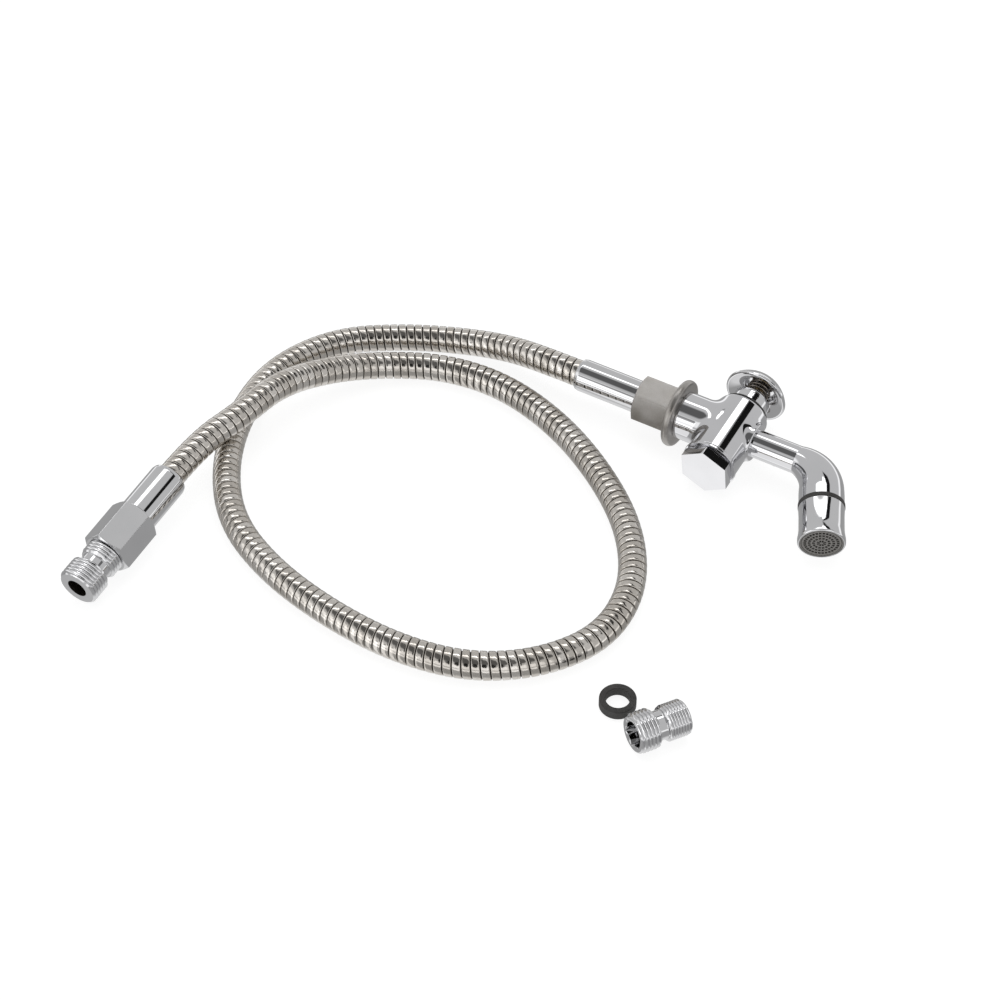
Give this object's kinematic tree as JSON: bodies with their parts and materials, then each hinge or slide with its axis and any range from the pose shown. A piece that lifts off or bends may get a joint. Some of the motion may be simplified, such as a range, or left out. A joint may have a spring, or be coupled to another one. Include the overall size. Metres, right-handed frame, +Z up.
{
  "type": "pre rinse faucet",
  "caption": "Hand-held push-button rinse faucet on a flexible steel hose with a hex cap, hook flange, angled aerator spout and threaded inlet, with a loose adapter and washer.",
  "frame": {"origin": "on the surface that everything lies on, below the middle of the box round the faucet head, the loose adapter and the loose washer", "axes": "+X along the head from the hose to the spout, +Y from the valve towards its push button, +Z up from the surface"},
  "size_m": [0.3125, 0.2807, 0.0362],
  "materials": {
    "chrome_body": "polished",
    "chrome_small": "polished",
    "satin_nickel": "bead blasted",
    "hose_steel": "satin",
    "spring_steel": "satin",
    "brass_inside": "machined",
    "black_rubber": "matte",
    "grey_plastic": "moulded",
    "wire_screen": "woven"
  },
  "bodies": {
    "faucet": {"valve_body": "chrome_body", "hex_cap": "chrome_body", "cap_gasket": "black_rubber", "valve_seat": "brass_inside", "bonnet": "chrome_small", "bonnet_gasket": "black_rubber", "stem_seals": "black_rubber", "return_spring": "spring_steel", "spout_pipe": "chrome_body", "spout_elbow": "chrome_body", "aerator_gasket": "black_rubber", "aerator_housing": "chrome_small", "aerator_insert": "grey_plastic", "aerator_screen": "wire_screen", "flow_restrictor": "grey_plastic", "hook_collar": "satin_nickel", "collar_gasket": "black_rubber", "outlet_ferrule": "chrome_small", "outlet_tail": "brass_inside", "hose": "hose_steel", "inlet_ferrule": "chrome_small", "inlet_tail": "brass_inside", "inlet_coupling": "chrome_small", "inlet_gasket": "black_rubber", "inlet_nipple": "chrome_small"},
    "push_button": {"button": "chrome_small", "valve_stem": "brass_inside", "seat_disc": "black_rubber", "disc_holder": "brass_inside", "poppet_nut": "brass_inside"},
    "loose_adapter": {"spare_adapter": "chrome_small"},
    "loose_washer": {"spare_washer": "black_rubber"}
  },
  "joints": [
    {"name": "button_press", "type": "slide", "parent": "faucet", "child": "push_button", "axis": [0, -0.996, -0.0889], "range_m": [0, 0.0055], "stiffness_N_per_m": 900, "springref_m": -0.004, "deforming": ["return_spring"]},
    {"name": "adapter_lift", "type": "slide", "parent": "faucet", "child": "loose_adapter", "axis": [0, 0, 1], "range_m": [0, 0.25]},
    {"name": "washer_lift", "type": "slide", "parent": "faucet", "child": "loose_washer", "axis": [0, 0, 1], "range_m": [0, 0.25]}
  ]
}
